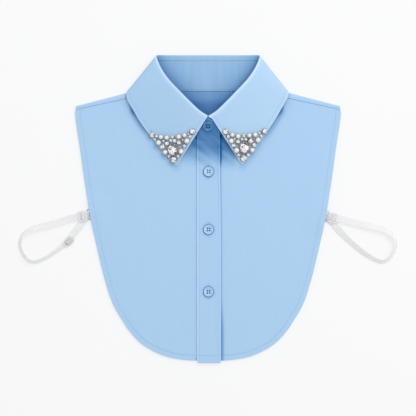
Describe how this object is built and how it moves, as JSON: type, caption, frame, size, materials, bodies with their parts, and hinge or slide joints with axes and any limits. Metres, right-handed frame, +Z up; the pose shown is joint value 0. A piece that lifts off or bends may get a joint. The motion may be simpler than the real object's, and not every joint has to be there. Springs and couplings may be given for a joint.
{
  "type": "bib collar necktie",
  "caption": "Detachable shirt collar with a short buttoned bib front and back, jewelled collar points and elastic side loops, laid flat",
  "frame": {"origin": "middle of the outline on the surface that the bib lies on", "axes": "+X across the bib to the viewer's right, +Y up the bib from hem to collar, +Z up from the surface and out of the front"},
  "size_m": [0.4344, 0.3528, 0.0207],
  "materials": {
    "shirt_cloth": "smooth plain weave, light blue",
    "button_plastic": "satin, dyed to match the cloth",
    "elastic": "woven elastic, white",
    "slider_plastic": "satin, white",
    "ring_metal": "satin, dark grey",
    "crystal": "clear cut stones in silver-coloured cups",
    "pearl": "cream, soft shine"
  },
  "bodies": {
    "root": {"adjuster_left": "slider_plastic", "back_panel": "shirt_cloth", "button_collar": "button_plastic", "button_lower": "button_plastic", "button_middle": "button_plastic", "button_upper": "button_plastic", "collar_leaf": "shirt_cloth", "collar_stand": "shirt_cloth", "crystal_left_11": "crystal", "crystal_left_14": "crystal", "crystal_left_17": "crystal", "crystal_left_2": "crystal", "crystal_left_5": "crystal", "crystal_left_7": "crystal", "crystal_left_8": "crystal", "crystal_left_9": "crystal", "crystal_right_11": "crystal", "crystal_right_12": "crystal", "crystal_right_15": "crystal", "crystal_right_18": "crystal", "crystal_right_2": "crystal", "crystal_right_5": "crystal", "crystal_right_7": "crystal", "crystal_right_8": "crystal", "crystal_right_9": "crystal", "front_panel_left": "shirt_cloth", "front_panel_right": "shirt_cloth", "oval_left_1": "crystal", "oval_right_1": "crystal", "pearl_left_10": "pearl", "pearl_left_12": "pearl", "pearl_left_13": "pearl", "pearl_left_15": "pearl", "pearl_left_16": "pearl", "pearl_left_3": "pearl", "pearl_left_4": "pearl", "pearl_left_6": "pearl", "pearl_right_10": "pearl", "pearl_right_13": "pearl", "pearl_right_14": "pearl", "pearl_right_16": "pearl", "pearl_right_17": "pearl", "pearl_right_3": "pearl", "pearl_right_4": "pearl", "pearl_right_6": "pearl", "placket": "shirt_cloth", "ring_left": "ring_metal", "ring_right": "ring_metal", "ring_tab_left": "elastic", "ring_tab_right": "elastic", "slider_left": "slider_plastic", "slider_right": "slider_plastic", "strap_loop_left": "elastic", "strap_loop_right": "elastic"}
  },
  "joints": []
}
